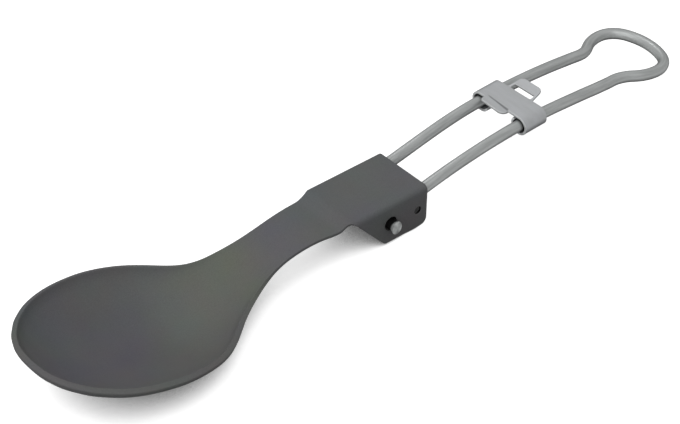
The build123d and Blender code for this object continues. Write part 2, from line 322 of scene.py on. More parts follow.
def outward(loop):
    """The direction out of the sheet at each point of an outline that runs anticlockwise."""
    ways = np.roll(loop, -1, axis=0) - loop
    ways = ways / np.hypot(ways[:, 0], ways[:, 1])[:, None]
    ways = ways + np.roll(ways, 1, axis=0)
    ways = ways / np.hypot(ways[:, 0], ways[:, 1])[:, None]
    return np.stack([ways[:, 1], -ways[:, 0]], 1)


def anticlockwise(loop, wanted=True):
    """The loop turned so that it runs anticlockwise, or clockwise for a hole."""
    ahead = np.roll(loop, -1, axis=0)
    area = np.sum(loop[:, 0] * ahead[:, 1] - loop[:, 1] * ahead[:, 0])
    return loop if (area > 0) == wanted else loop[::-1]


def distance_to(rim, places):
    """How far each place lies from the nearest point of a rim."""
    return np.array([np.min(np.hypot(*(rim - place).T)) for place in places])


def cut_blank(loops, inner_loops, lines, margin):
    """Fills the inner loops of a blank with triangles whose corners are its lines' points.

    Points nearer the rim than the margin are left out. Gives the flat places, the triangles, and the place
    that each point of the inner loops has become.
    """
    rim = np.concatenate(loops)
    grid = lines[inside(loops, lines)]
    grid = grid[distance_to(rim, grid) > margin]
    flat = np.concatenate(inner_loops + [grid])
    fences, start = [], 0
    for loop in inner_loops:
        count = len(loop)
        fences += [(start + i, start + (i + 1) % count) for i in range(count)]
        start += count
    flat_mm = [Vector(point / mm) for point in flat]
    cut = delaunay_2d_cdt(flat_mm, fences, [], 0, 1e-6)
    places = np.array([tuple(v) for v in cut[0]]) * mm
    triangles = np.array([face for face in cut[2]])
    keep = inside(inner_loops, places[triangles].mean(axis=1))
    came_from = {source: new for new, sources in enumerate(cut[3]) for source in sources}
    return places, triangles[keep], came_from


def pressed_sheet(
        name, outline, holes, lines, press, thickness, edge, under_edge, crease=None, hole_shade=0):
    """Cuts a blank out of sheet, presses it to shape and rounds its cut edges.

    The outline, the holes and the lines of inner points are flat; press takes flat places to where the upper
    skin lies, and thickness gives the sheet there. The distance of each point from the nearest cut edge is
    kept with the mesh. So is how far it lies in shade: on the upper side as crease says, and hole_shade on
    the walls of the holes.
    """
    loops = [anticlockwise(outline)] + [anticlockwise(hole, False) for hole in holes]
    ways = [outward(loop) for loop in loops]
    widest = max(edge, under_edge)
    inner_loops = [loop - way * widest for loop, way in zip(loops, ways)]
    places, triangles, came_from = cut_blank(loops, inner_loops, lines, 1.35 * widest)

    def skin(flat_places, share_down, below=0.0):
        """Places at a share of the sheet's thickness and a distance below its upper skin."""
        depth = share_down * thickness(flat_places) + below
        step = 0.01 * mm
        here = press(flat_places)
        along = press(flat_places + (step, 0)) - press(flat_places - (step, 0))
        across = press(flat_places + (0, step)) - press(flat_places - (0, step))
        up = np.cross(along, across)
        up = up / np.linalg.norm(up, axis=1)[:, None]
        return here - up * depth[:, None]

    count = len(places)
    wear = distance_to(np.concatenate(loops), places)
    verts = [skin(places, 0), skin(places, 1)]
    distances = [wear, wear]
    # Painted shade: in_shade says how far each point's colour is drawn dark, on the upper side and on the
    # holes' walls.
    shades = [crease(places) if crease else np.zeros(count), np.zeros(count)]
    faces = [tuple(t) for t in triangles] + [tuple(t[::-1] + count) for t in triangles]
    total = 2 * count
    quarter = np.radians((90, 60, 30, 0))
    upper_round = [(edge * (1 - math.cos(a)), 0, edge * (1 - math.sin(a))) for a in quarter]
    lower_round = [
        (under_edge * (1 - math.cos(a)), 1, under_edge * (math.sin(a) - 1)) for a in quarter[::-1]]
    profile = upper_round[0 if edge < widest else 1:] + lower_round[:4 if under_edge < widest else 3]
    start = 0
    for loop, way in zip(loops, ways):
        size_of = len(loop)
        top = [came_from[start + i] for i in range(size_of)]
        rows = [top]
        for inset, share_down, below in profile:
            on_wall = loop is not loops[0] and inset <= 0
            verts.append(skin(loop - way * inset, share_down, below))
            distances.append(np.zeros(size_of))
            shades.append(np.full(size_of, hole_shade if on_wall else 0))
            rows.append(list(range(total, total + size_of)))
            total += size_of
        rows.append([count + i for i in top])
        for upper, lower in zip(rows, rows[1:]):
            for i in range(size_of):
                j = (i + 1) % size_of
                faces.append((upper[i], lower[i], lower[j], upper[j]))
        start += size_of
    mesh = bpy.data.meshes.new(name)
    mesh.from_pydata(np.concatenate(verts).tolist(), [], faces)
    keep_with(mesh, "edge_distance", np.concatenate(distances))
    keep_with(mesh, "in_shade", np.concatenate(shades))
    return finished(name, mesh)


def keep_with(mesh, name, values):
    """Keeps a value for each point with the mesh, for its material to read."""
    kept = mesh.attributes.new(name, "FLOAT", "POINT")
    kept.data.foreach_set("value", values.astype(np.float32))


def finished(name, mesh):
    """A smooth object from a mesh that was drawn in the spoon's own frame."""
    mesh.transform(standing)
    mesh.validate()
    mesh.shade_smooth()
    piece = bpy.data.objects.new(name, mesh)
    bpy.context.scene.collection.objects.link(piece)
    return piece


def cross_lines(xs, ys):
    """All the places where two sets of lines cross, with every other row moved half a step along."""
    half = np.gradient(xs) / 2
    rows = [np.stack([xs + half * (k % 2), np.full(len(xs), y)], 1) for k, y in enumerate(ys)]
    return np.concatenate(rows)


class HeadShape:
    """The head's flat blank and the press that shapes it."""

    def __init__(self, sizes):
        self.s = sizes
        self.flat = sizes.channel_width / 2 - sizes.channel_bend
        self.fold = sizes.channel_bend * math.pi / 2
        along, width, self.dip, self.dish = np.array(blade_shares).T
        length = sizes.length - sizes.channel_length
        rim = np.stack([along * length - sizes.length, width * sizes.bowl_width / 2], 1)
        mirrored = np.concatenate([rim[1:2] * (1, -1), rim])
        ways = np.gradient(mirrored, axis=0)[1:]
        ways = ways / np.hypot(*ways.T)[:, None]
        inward = np.stack([ways[:, 1], -ways[:, 0]], 1)
        self.steep = 1 - smooth_step((along - 0.50) / 0.25)
        self.set_rim(rim)
        for _ in range(4):
            self.set_rim(rim + inward * self.reach_out()[:, None])

    def set_rim(self, rim):
        """Takes the upper skin's rim, as flat places from the tip to the channel."""
        self.tip = rim[0, 0]
        self.blade = -self.s.channel_length - self.tip
        self.along = (rim[:, 0] - self.tip) / self.blade
        self.width = rim[:, 1]

    def reach_out(self):
        """How far the sheet's lower skin stands out past the upper skin's rim, at each row of the blade."""
        rim = np.stack([self.along * self.blade + self.tip, self.width], 1)
        rim[0, 0] += 0.02 * mm
        rim = rim * (1, 0.999)
        step = 0.01 * mm
        along = self.press(rim + (step, 0)) - self.press(rim - (step, 0))
        across = self.press(rim + (0, step)) - self.press(rim - (0, step))
        up = np.cross(along, across)
        flat = np.hypot(up[:, 0], up[:, 1]) / np.linalg.norm(up, axis=1)
        return flat * self.thickness(rim) * self.steep

    def thickness(self, flat):
        """The sheet's thickness: a little more round the bowl's rim."""
        s = self.s
        share_along = np.clip((flat[:, 0] - self.tip) / self.blade, 0, 1)
        near = np.exp(-(self.rim_distance(flat) / s.rim_fade) ** 2)
        return s.sheet + (s.rim_sheet - s.sheet) * spline(self.along, self.steep, share_along) * near

    def rim_distance(self, flat):
        """About how far a flat place of the blade lies in from the rim; none outside it."""
        step = 0.02 * mm
        share_along = np.clip((flat[:, 0] - self.tip) / self.blade, 0, 1)
        width = self.half_width(share_along) ** 2
        ahead = self.half_width(np.clip((flat[:, 0] + step - self.tip) / self.blade, 0, 1)) ** 2
        room = width - flat[:, 1] ** 2
        steepness = np.sqrt(((ahead - width) / step) ** 2 + 4 * flat[:, 1] ** 2 + mm ** 2)
        return np.maximum(room / steepness, 0)

    def half_width(self, share_along):
        root = np.sqrt(np.clip(share_along, 0, 1))
        return spline(np.sqrt(self.along), self.width, root)

    def unfolded(self, x, depth):
        """The flat place of a point on a flange, at a depth below the top plate."""
        return x, self.flat + self.fold + depth - self.s.channel_bend

    def outline(self, step):
        s = self.s
        neck_end = 0.955
        roots = np.linspace(0, math.sqrt(neck_end), 400)
        edge = np.stack([roots ** 2 * self.blade + self.tip, self.half_width(roots ** 2)], 1)
        run = np.concatenate([[0], np.cumsum(np.hypot(*np.diff(edge, axis=0).T))])
        evenly = np.linspace(0, run[-1], round(run[-1] / step))
        edge = np.stack([np.interp(evenly, run, edge[:, 0]), np.interp(evenly, run, edge[:, 1])], 1)
        toe = self.unfolded(-s.flange_toe, s.flange_height + s.toe_drop)
        shoulder = self.unfolded(-s.channel_length, s.channel_bend)
        slant = (toe[1] - shoulder[1]) / (toe[0] - shoulder[0])
        root = (shoulder[0] - (shoulder[1] - edge[-1][1]) / slant, edge[-1][1])
        heel = self.unfolded(-s.heel_inset, s.flange_height)
        corners = [tuple(edge[-1]), root, toe, heel, (0, self.flat), (0, 0)]
        radii = [s.ear_fillet, s.toe_corner, s.heel_corner, s.heel_inset]
        half = np.concatenate([edge[:-1], rounded(corners, radii, step)])
        return np.concatenate([half[:-1], [half[-1]], (half * (1, -1))[1:-1][::-1]])

    def press(self, flat):
        s = self.s
        x, across = flat[:, 0], flat[:, 1]
        share_along = np.clip((x - self.tip) / self.blade, 0, 1)
        width = np.maximum(self.half_width(share_along), 0.05 * mm)
        steep = spline(self.along, self.steep, share_along)
        round_bowl, squarer_bowl = 2, 0.6
        fold_starts, fold_run = 4.0 * mm, 3.2 * mm
        fullness = round_bowl + squarer_bowl * steep
        hollow = 1 - (np.abs(across) / width) ** fullness
        dish = spline(self.along, self.dish, share_along) * s.bowl_depth
        rim = 0.3 * mm * steep - spline(self.along, self.dip, share_along) * s.rim_dip
        blade_z = rim - dish * hollow * (2 * width / s.bowl_width) ** 2
        blade_z = blade_z - s.lip_depth * steep * (1 - np.exp(-self.rim_distance(flat) / s.lip_reach))
        side, away = np.sign(across), np.abs(across)
        angle = np.clip((away - self.flat) / s.channel_bend, 0, math.pi / 2)
        down = np.maximum(away - self.flat - self.fold, 0)
        fold_y = np.minimum(away, self.flat) + s.channel_bend * np.sin(angle)
        fold_z = -s.channel_bend * (1 - np.cos(angle)) - down
        share_folded = smooth_step((x + s.channel_length + fold_starts) / fold_run)
        y = across + (side * fold_y - across) * share_folded
        z = blade_z + (fold_z - blade_z) * share_folded
        return np.stack([x, y, z], 1)

    def lines(self):
        s = self.s
        bowl_ends = -s.channel_length - 8 * mm
        bowl = cross_lines(
            np.arange(-s.length, -s.channel_length - 4 * mm, 0.8 * mm),
            np.arange(-s.bowl_width / 2, s.bowl_width / 2, 0.7 * mm))
        flange = np.arange(self.flat + self.fold, self.flat + self.fold + s.flange_height, 0.7 * mm)
        fold = np.linspace(self.flat, self.flat + self.fold, 10)[:-1]
        top = np.linspace(-self.flat, self.flat, 15)
        across = np.concatenate([-flange[::-1], -fold[::-1], top[1:-1], fold, flange])
        channel = cross_lines(np.arange(-s.channel_length - 3.8 * mm, 0, 0.6 * mm), across)
        rim = anticlockwise(self.outline(0.4 * mm))
        insets = np.array((0.45, 0.62, 0.85, 1.15, 1.55)) * mm
        rings = np.concatenate([rim - outward(rim) * inset for inset in insets])
        rings = rings[rings[:, 0] < bowl_ends]
        bowl = bowl[distance_to(rim, bowl) > np.where(bowl[:, 0] < bowl_ends, 1.95 * mm, 0)]
        return np.concatenate([bowl, channel, rings])

    def holes(self):
        s = self.s
        found = []
        for side in (-1, 1):
            for back, drop, across in (
                (s.pivot_back, s.pivot_drop, s.pivot_hole),
                (s.side_hole_back, s.side_hole_drop, s.side_hole),
            ):
                x, y = self.unfolded(-back, drop)
                found.append(ring((x, side * y), across / 2, 32))
        return found


class LockShape:
    """The lock's flat blank and the press that bends it round the legs."""

    def __init__(self, sizes, handle):
        self.s = sizes
        self.leg = sizes.curl_spacing / 2
        self.curl_radius = handle.wire / 2 + sizes.clearance + sizes.sheet
        self.half = sizes.length / 2

    def outline(self, step):
        s = self.s
        near_reach = self.leg + self.curl_radius * s.near_curl
        far_reach = self.leg + self.curl_radius * s.far_curl + s.far_room
        front, rear = -self.half, self.half
        nose = front - s.tongue_proud
        near, far = s.tongue_aside - s.tongue_width / 2, s.tongue_aside + s.tongue_width / 2
        near_end = self.joggle_line(near)
        tip, tab = rear + s.tab_length, s.tab_width / 2
        small = s.slit * 0.45
        corners = [
            (nose, s.tongue_aside),
            (nose, far),
            (front, far + 0.2 * mm),
            (front, far_reach),
            (rear, far_reach),
            (rear, tab),
            (tip, tab - s.tab_taper),
            (tip, s.tab_taper - tab),
            (rear, -tab),
            (rear, -near_reach),
            (front, -near_reach),
            (front, near - s.slit),
            (near_end, near - s.slit),
            (near_end, near),
            (nose, near),
            (nose, s.tongue_aside),
        ]
        plate = [s.corner, s.corner, s.corner]
        radii = [0.6 * mm, 0.2 * mm, *plate, s.tab_corner, s.tab_corner, *plate, small, small, small]
        radii.append(s.tongue_corner)
        return rounded(corners, radii, step)[:-1]

    def joggle_line(self, across):
        """Where the joggle that lowers the tongue ends, which is further back at the far side."""
        s = self.s
        return -self.half - s.tongue_proud + s.tongue_length + 0.07 * (across - s.tongue_aside)

    def press(self, flat):
        s = self.s
        x, across = flat[:, 0], flat[:, 1]
        side, away = np.sign(across), np.abs(across)
        past = np.maximum(away - self.leg, 0)
        run = np.clip(past - math.pi * self.curl_radius, 0, s.far_room) * (side > 0)
        angle = (past - run) / self.curl_radius
        y = side * (np.minimum(away, self.leg) + self.curl_radius * np.sin(angle) - run)
        z = self.curl_radius * np.cos(angle)
        joggle = smooth_step((self.joggle_line(across) - x) / s.joggle)
        z = z - self.lowered(across) * joggle * s.tongue_drop
        behind = x - self.half
        bend = np.clip(behind / s.tab_bend, 0, s.tab_rise)
        straight = np.maximum(behind - s.tab_bend * s.tab_rise, 0)
        raised_x = self.half + s.tab_bend * np.sin(bend) + straight * math.cos(s.tab_rise)
        raised_z = s.tab_bend * (1 - np.cos(bend)) + straight * math.sin(s.tab_rise)
        x = np.where(behind > 0, raised_x, x)
        z = z + np.where(behind > 0, raised_z, 0)
        return np.stack([x, y, z], 1)

    def lowered(self, across):
        """How far down the tongue is pressed at a place across it: from nothing at its far side to all."""
        s = self.s
        from_far = (s.tongue_aside + s.tongue_width / 2 - across) / s.tongue_width
        return np.clip(from_far, 0, 1) * (from_far < 1 + s.slit / 2 / s.tongue_width)

    def crease(self, flat):
        """How much painted shade a place takes in the crease behind the lowered tongue."""
        x, across = flat[:, 0], flat[:, 1]
        off = np.abs(x - self.joggle_line(across) + self.s.joggle / 2)
        depth = np.clip(self.lowered(across) * 9, 0, 1)
        return 0.5 * depth * (off < self.s.joggle * 0.6)

    def lines(self):
        s = self.s
        reach = self.leg + self.curl_radius * max(s.near_curl, s.far_curl)
        curl = np.linspace(self.leg, reach, 18)[1:-1]
        top = np.linspace(-self.leg, self.leg, 26)
        across = np.concatenate([-curl[::-1], top, curl])
        along = np.arange(-self.half - s.tongue_proud, self.half + s.tab_length, 0.25 * mm)
        grid = cross_lines(along, across)
        reach_of_tongue = s.tongue_width / 2 - s.edge * 2
        tongue = np.linspace(s.tongue_aside - reach_of_tongue, s.tongue_aside + reach_of_tongue, 30)
        off = grid[:, 0] - self.joggle_line(grid[:, 1]) + s.joggle / 2
        beside = np.abs(grid[:, 1] - s.tongue_aside) > s.tongue_width / 2
        grid = grid[beside | (np.abs(off) > 1.6 * s.joggle)]
        rows = [
            np.stack([self.joggle_line(tongue) + shift * s.joggle, tongue], 1)
            for shift in (-1.9, -1, -0.5, 0, 0.9)
        ]
        return np.concatenate([grid, *rows])

    def holes(self):
        s = self.s
        front = self.half + s.slot_inset
        rear = front + s.slot_length
        side = s.slot_width / 2
        corners = [(front, 0), (front, side), (rear, side), (rear, 0)]
        corner = s.sheet * 0.6
        half = rounded(corners, [corner, corner], 0.3 * mm)
        return [np.concatenate([half, (half * (1, -1))[1:-1][::-1]])]


class HandlePath:
    """The wire's centre line, walked from one pin to the middle of the loop's end."""

    def __init__(self, sizes, head):
        s = self.s = sizes
        drop = head.sheet + s.stop_gap + s.wire / 2 / math.cos(s.arch_start)
        self.centre = Vector((
            s.arch_radius * math.sin(s.arch_start), 0, -drop - s.arch_radius * math.cos(s.arch_start)))
        self.pivot = Vector((-head.pivot_back, 0, -head.pivot_drop))
        self.pin_end = head.channel_width / 2 + s.pin_proud

    def slope(self, x):
        """The arch's slope at a place along the spoon."""
        return math.asin((self.centre.x - x) / self.s.arch_radius)

    def arch_point(self, x):
        """The arch's centre line at a place along the spoon."""
        return Vector((x, 0, self.centre.z + self.s.arch_radius * math.cos(self.slope(x))))

    def go(self, distance):
        self.here = self.here + self.way * distance
        self.points.append(self.here.copy())

    def bend(self, axis, angle, radius):
        """Walks round an arc about an axis; a positive angle turns left of that axis."""
        sign = math.copysign(1, angle)
        centre = self.here + axis.cross(self.way) * radius * sign
        arm = self.here - centre
        steps = max(6, math.ceil(abs(angle) * radius / (0.8 * mm)))
        for k in range(1, steps + 1):
            rotation = Matrix.Rotation(angle * k / steps, 3, axis)
            self.points.append(centre + rotation @ arm)
        self.here = self.points[-1].copy()
        self.way = (Matrix.Rotation(angle, 3, axis) @ self.way).normalized()

    def walk(self):
        s = self.s
        leg = s.leg_spacing / 2
        joint = self.arch_point(-s.heel_back)
        joint_slope = self.slope(-s.heel_back)
        middle = joint + Vector((math.sin(joint_slope), 0, -math.cos(joint_slope))) * s.heel_bend
        reach = middle - self.pivot
        heel_slope = math.atan2(reach.z, reach.x) + math.asin(s.heel_bend / reach.length)
        heel_way = Vector((math.cos(heel_slope), 0, math.sin(heel_slope)))
        heel_start = middle + Vector((-math.sin(heel_slope), 0, math.cos(heel_slope))) * s.heel_bend
        self.here = self.pivot + Vector((0, self.pin_end, 0))
        self.way = Vector((0, -1, 0))
        self.points = [self.here.copy()]
        self.go(self.pin_end - leg - s.pin_bend)
        self.bend(self.way.cross(heel_way), math.pi / 2, s.pin_bend)
        across = Vector((0, 1, 0))
        self.go((heel_start - self.here + across * leg).dot(heel_way))
        self.bend(across, heel_slope - joint_slope, s.heel_bend)
        self.bend(across, joint_slope - self.slope(s.arch_reach), s.arch_radius)
        self.bend(across, self.slope(s.arch_reach) + s.loop_droop, s.loop_lift)
        up = across.cross(self.way) * -1
        spread = (s.loop_width / 2 - leg) / 2
        swing = math.acos(1 - spread / s.loop_turn)
        self.bend(up, swing, s.loop_turn)
        self.bend(up, -swing, s.loop_turn)
        self.bend(up, -s.loop_corner_turn, s.loop_corner)
        last = math.pi / 2 - s.loop_corner_turn
        self.bend(up, -last, self.here.y / math.sin(last))
        half = self.points
        whole = half + [Vector((p.x, -p.y, p.z)) for p in reversed(half[:-1])]
        return [self.sprung(point) for point in whole]

    def sprung(self, point):
        """A point of the wire, moved to where its spring holds it: each leg bows out a little."""
        side, bow, stations = -1, self.s.near_bow, near_bow_stations
        if point.y > 0:
            side, bow, stations = 1, self.s.far_bow, far_bow_stations
        begins, full, fades, ends = (station * mm for station in stations)
        risen = smooth_step((point.x - begins) / (full - begins))
        fallen = smooth_step((point.x - fades) / (ends - fades))
        return point + Vector((0, side * bow * (risen - fallen), 0))


def drawn_wire(name, path, wire, chamfer, pinch, pinch_run):
    """A round wire along a path, whose ends a cutter has pinched to a blunt upright ridge.

    Distance along it and turn round it are kept as its UV. The distance to its nearer end is kept with each
    point.
    """
    sides = 28
    ridge_slope = 0.32
    radius = wire / 2
    points = [np.array(p) for p in path]
    first = points[0] - points[1]
    last = points[-1] - points[-2]
    first, last = first / np.linalg.norm(first), last / np.linalg.norm(last)
    points[1:1] = [points[0] - first * chamfer, points[0] - first * pinch_run]
    points[-1:-1] = [points[-1] - last * pinch_run, points[-1] - last * chamfer]
    ways = np.gradient(np.array(points), axis=0)
    ways = ways / np.linalg.norm(ways, axis=1)[:, None]
    side = np.array((0.0, 0.0, 1.0))
    verts, along, run = [], [], 0.0
    for i, (point, way) in enumerate(zip(points, ways)):
        side = side - way * (side @ way)
        side = side / np.linalg.norm(side)
        other = np.cross(way, side)
        run += np.linalg.norm(point - points[i - 1]) if i else 0
        at_end = i in (0, len(points) - 1)
        wide = radius - chamfer if at_end else radius
        tall = 1 + pinch if i < 2 or i > len(points) - 3 else 1
        back = way if i == 0 else -way
        for k in range(sides):
            turned = 2 * math.pi * k / sides
            out = wide * (side * math.cos(turned) + other * math.sin(turned)) * (1, 1, tall)
            verts.append(point + out + (back * abs(out[0]) * ridge_slope if at_end else 0))
        along.append(run)
    faces = []
    uvs = []
    for i in range(len(points) - 1):
        for k in range(sides):
            j = (k + 1) % sides
            faces.append((i * sides + k, i * sides + j, (i + 1) * sides + j, (i + 1) * sides + k))
            low, high = k / sides, (k + 1) / sides
            uvs += [(along[i], low), (along[i], high), (along[i + 1], high), (along[i + 1], low)]
    end = (len(points) - 1) * sides
    for cap, rows, run_at in ((range(sides - 1, -1, -1), 0, along[0]), (range(sides), end, along[-1])):
        verts.append(points[0] if rows == 0 else points[-1])
        middle = len(verts) - 1
        cap = list(cap)
        for a, b in zip(cap, cap[1:] + cap[:1]):
            faces.append((rows + a, rows + b, middle))
            uvs += [(run_at, a / sides), (run_at, b / sides), (run_at, 0.5)]
    mesh = bpy.data.meshes.new(name)
    mesh.from_pydata([tuple(v) for v in verts], [], faces)
    layer = mesh.uv_layers.new(name="along_wire")
    layer.data.foreach_set("uv", np.array(uvs, np.float32).ravel())
    from_end = np.minimum(along, along[-1] - np.array(along))
    keep_with(mesh, "end_distance", np.concatenate([np.repeat(from_end, sides), (0, 0)]))
    piece = finished(name, mesh)
    mesh.set_sharp_from_angle(angle=math.radians(38))
    return piece


def feed(tree, taker, giver):
    """Gives a node's input a fixed value, or links it to another node's output."""
    if isinstance(giver, bpy.types.NodeSocket):
        tree.links.new(giver, taker)
    else:
        taker.default_value = giver


def node(tree, kind, place, **values):
    """A node at a place in the tree, with its properties and inputs set by name."""
    made = tree.nodes.new(kind)
    made.location = place
    for key, value in values.items():
        if key in made.inputs:
            feed(tree, made.inputs[key], value)
        else:
            setattr(made, key, value)
    return made


def mapped(tree, place, value, low, high, to_low=0.0, to_high=1.0, soft=False):
    """A value's run from low to high, mapped to another range and held within it."""
    made = node(
        tree, "ShaderNodeMapRange", place, Value=value, interpolation_type="SMOOTHSTEP" if soft else "LINEAR")
    limits = {"From Min": low, "From Max": high, "To Min": to_low, "To Max": to_high}
    for label, limit in limits.items():
        feed(tree, made.inputs[label], limit)
    return made.outputs["Result"]


def calculated(tree, place, operation, *values, clamp=False):
    """The result of a sum on up to three values."""
    made = node(tree, "ShaderNodeMath", place, operation=operation, use_clamp=clamp)
    for taker, giver in zip(made.inputs, values):
        feed(tree, taker, giver)
    return made.outputs[0]


def mixed(tree, place, factor, first, second, blend="MIX"):
    """A colour mixed from two."""
    made = node(tree, "ShaderNodeMix", place, data_type="RGBA", blend_type=blend)
    for label, giver in (("Factor", factor), ("A", first), ("B", second)):
        feed(tree, made.inputs[label], giver)
    return made.outputs["Result"]


def kept_value(tree, place, name):
    """A value that is kept with each point of the mesh."""
    return node(tree, "ShaderNodeAttribute", place, attribute_name=name).outputs["Fac"]


def new_group(name, inputs, outputs):
    """An empty shader group with named sockets, and its inner input and output nodes."""
    tree = bpy.data.node_groups.new(name, "ShaderNodeTree")
    for label, kind, default in inputs:
        socket = tree.interface.new_socket(name=label, in_out="INPUT", socket_type=kind)
        if default is not None:
            socket.default_value = default
    for label, kind in outputs:
        tree.interface.new_socket(name=label, in_out="OUTPUT", socket_type=kind)
    taken = node(tree, "NodeGroupInput", (-700, 0))
    given = node(tree, "NodeGroupOutput", (500, 0))
    return tree, taken.outputs, given.inputs


def grain_group():
    """Fine grain of one size: a height for bumps, and a speckle that goes with it."""
    tree, taken, given = new_group(
        "Fine grain",
        [("Vector", "NodeSocketVector", None), ("Fineness", "NodeSocketFloat", 4000.0)],
        [("Height", "NodeSocketFloat"), ("Speckle", "NodeSocketFloat")])
    spot, fineness = taken["Vector"], taken["Fineness"]
    coarse = node(
        tree, "ShaderNodeTexNoise", (-400, 150), Vector=spot, Scale=fineness, Detail=3.0, Roughness=0.7)
    finer = calculated(tree, (-560, -150), "MULTIPLY", fineness, 1.7)
    fine = node(tree, "ShaderNodeTexVoronoi", (-400, -150), Vector=spot, Scale=finer, Randomness=1.0)
    height = calculated(
        tree, (-100, 0), "MULTIPLY_ADD", fine.outputs["Distance"], 0.45, coarse.outputs["Fac"])
    feed(tree, given["Height"], height)
    feed(tree, given["Speckle"], mapped(tree, (150, -150), coarse.outputs["Fac"], 0.35, 0.65))
    return tree


def spot_group():
    """A soft round spot about a centre: whole within one distance, and gone at another."""
    tree, taken, given = new_group(
        "Soft spot",
        [
            ("Vector", "NodeSocketVector", None),
            ("Centre", "NodeSocketVector", None),
            ("Whole", "NodeSocketFloat", 0.0),
            ("Gone", "NodeSocketFloat", 0.01),
        ],
        [("Mask", "NodeSocketFloat")])
    away = node(tree, "ShaderNodeVectorMath", (-400, 0), operation="DISTANCE")
    feed(tree, away.inputs[0], taken["Vector"])
    feed(tree, away.inputs[1], taken["Centre"])
    fade = mapped(tree, (0, 0), away.outputs["Value"], taken["Whole"], taken["Gone"], 1.0, 0.0, soft=True)
    feed(tree, given["Mask"], fade)
    return tree


def gap_group():
    """How deep a place lies in a narrow gap or crease, where light hardly comes."""
    tree, taken, given = new_group(
        "Narrow gaps", [("Reach", "NodeSocketFloat", 0.001)], [("Mask", "NodeSocketFloat")])
    around = node(tree, "ShaderNodeAmbientOcclusion", (-400, 0), samples=12, Distance=taken["Reach"])
    feed(tree, given["Mask"], mapped(tree, (0, 0), around.outputs["AO"], 0.75, 0.25))
    return tree


def wear_group():
    """How rubbed a place is, from its distance to the nearest cut edge, broken up by noise."""
    tree, taken, given = new_group(
        "Edge wear",
        [
            ("Vector", "NodeSocketVector", None),
            ("Distance", "NodeSocketFloat", 1.0),
            ("Width", "NodeSocketFloat", 0.0003),
            ("Amount", "NodeSocketFloat", 0.5),
        ],
        [("Mask", "NodeSocketFloat")])
    breakup = node(tree, "ShaderNodeTexNoise", (-450, -150), Vector=taken["Vector"], Scale=700.0, Detail=3.0)
    near = mapped(tree, (-250, 150), taken["Distance"], 0.0, taken["Width"], 1.0, 0.0)
    rubbed = calculated(tree, (-50, 0), "MULTIPLY", near, breakup.outputs["Fac"])
    feed(tree, given["Mask"], calculated(tree, (150, 0), "MULTIPLY", rubbed, taken["Amount"], clamp=True))
    return tree


def new_material(name):
    """A material with an empty tree, its Principled shader, and the piece's own coordinates."""
    material = bpy.data.materials.new(name)
    material.use_nodes = True
    tree = material.node_tree
    tree.nodes.clear()
    shader = node(tree, "ShaderNodeBsdfPrincipled", (500, 0))
    node(tree, "ShaderNodeOutputMaterial", (800, 0), Surface=shader.outputs["BSDF"])
    place = node(tree, "ShaderNodeTexCoord", (-1100, 0))
    return material, tree, shader, place


def placed_group(tree, name, make, place, **values):
    """A node that uses the shared group of that name, which is made the first time, with its inputs fed."""
    group = bpy.data.node_groups.get(name) or make()
    made = tree.nodes.new("ShaderNodeGroup")
    made.node_tree = group
    made.location = place
    for key, value in values.items():
        feed(tree, made.inputs[key], value)
    return made.outputs


def bump(tree, shader, height, depth, strength):
    """A bump of a depth in metres that feeds the shader's normal."""
    made = node(tree, "ShaderNodeBump", (250, -300), Strength=strength, Distance=depth, Height=height)
    feed(tree, shader.inputs["Normal"], made.outputs["Normal"])


def rubbed_edges(tree, spot, colour_so_far, rubbed, width, amount):
    """A colour with another one along the sheet's cut edges."""
    wear = placed_group(
        tree, "Edge wear", wear_group, (-700, -450), Vector=spot,
        Distance=kept_value(tree, (-900, -450), "edge_distance"), Width=width, Amount=amount)
    return mixed(tree, (-50, 150), wear["Mask"], colour_so_far, (*rubbed, 1))


def dark_titanium(finish):
    """The head's finish: dark, blasted, matte, violet tinted and rubbed at its edges, with a painted olive
    highlight and painted shade.
    """
    painted_shade_black = (0.002, 0.002, 0.002, 1)
    material, tree, shader, place = new_material("head_titanium")
    spot = place.outputs["Object"]
    tone = (*finish.head, 1)
    # Two of these tints are painted light: shade in the bowl, and a highlight where it rises to the neck.
    for centre, whole, gone, tint in head_tints:
        mask = placed_group(
            tree, "Soft spot", spot_group, (-900, 400), Vector=spot, Centre=Vector(centre) * mm,
            Whole=whole * mm, Gone=gone * mm)
        tone = mixed(tree, (-600, 400), mask["Mask"], tone, (*getattr(finish, tint), 1))
    cloud = node(tree, "ShaderNodeTexNoise", (-700, 150), Vector=spot, Scale=90.0, Detail=3.0)
    tone = mixed(tree, (-450, 250), 0.15, tone, cloud.outputs["Color"], "SOFT_LIGHT")
    grain = placed_group(
        tree, "Fine grain", grain_group, (-700, -150), Vector=spot, Fineness=1 / finish.head_grain)
    tone = mixed(tree, (-250, 200), 0.16, tone, grain["Speckle"], "MULTIPLY")
    tone = rubbed_edges(tree, spot, tone, finish.head_worn, 0.35 * mm, finish.wear * 0.2)
    # Painted shade: the walls of the holes are drawn nearly black.
    tone = mixed(tree, (200, 250), kept_value(tree, (-50, 400), "in_shade"), tone, painted_shade_black)
    feed(tree, shader.inputs["Base Color"], tone)
    rough = mapped(tree, (0, -100), grain["Speckle"], 0.0, 1.0, 0.50, 0.62)
    feed(tree, shader.inputs["Roughness"], rough)
    shader.inputs["Specular IOR Level"].default_value = 0.15
    bump(tree, shader, grain["Height"], 0.02 * mm, 0.6)
    return material


def pin_shade(tree):
    """Painted shade and a painted dark reflection on each pin just behind its end, beside its flange."""
    from_end = kept_value(tree, (-400, 650), "end_distance")
    begins = mapped(tree, (-200, 750), from_end, 0.35 * mm, 0.95 * mm, soft=True)
    ends = mapped(tree, (-200, 550), from_end, 3.2 * mm, 2.2 * mm, soft=True)
    return calculated(tree, (0, 650), "MULTIPLY", begins, ends)


def crease_shade(tree):
    """Painted shade in the crease behind the lock's tongue."""
    return kept_value(tree, (0, 650), "in_shade")


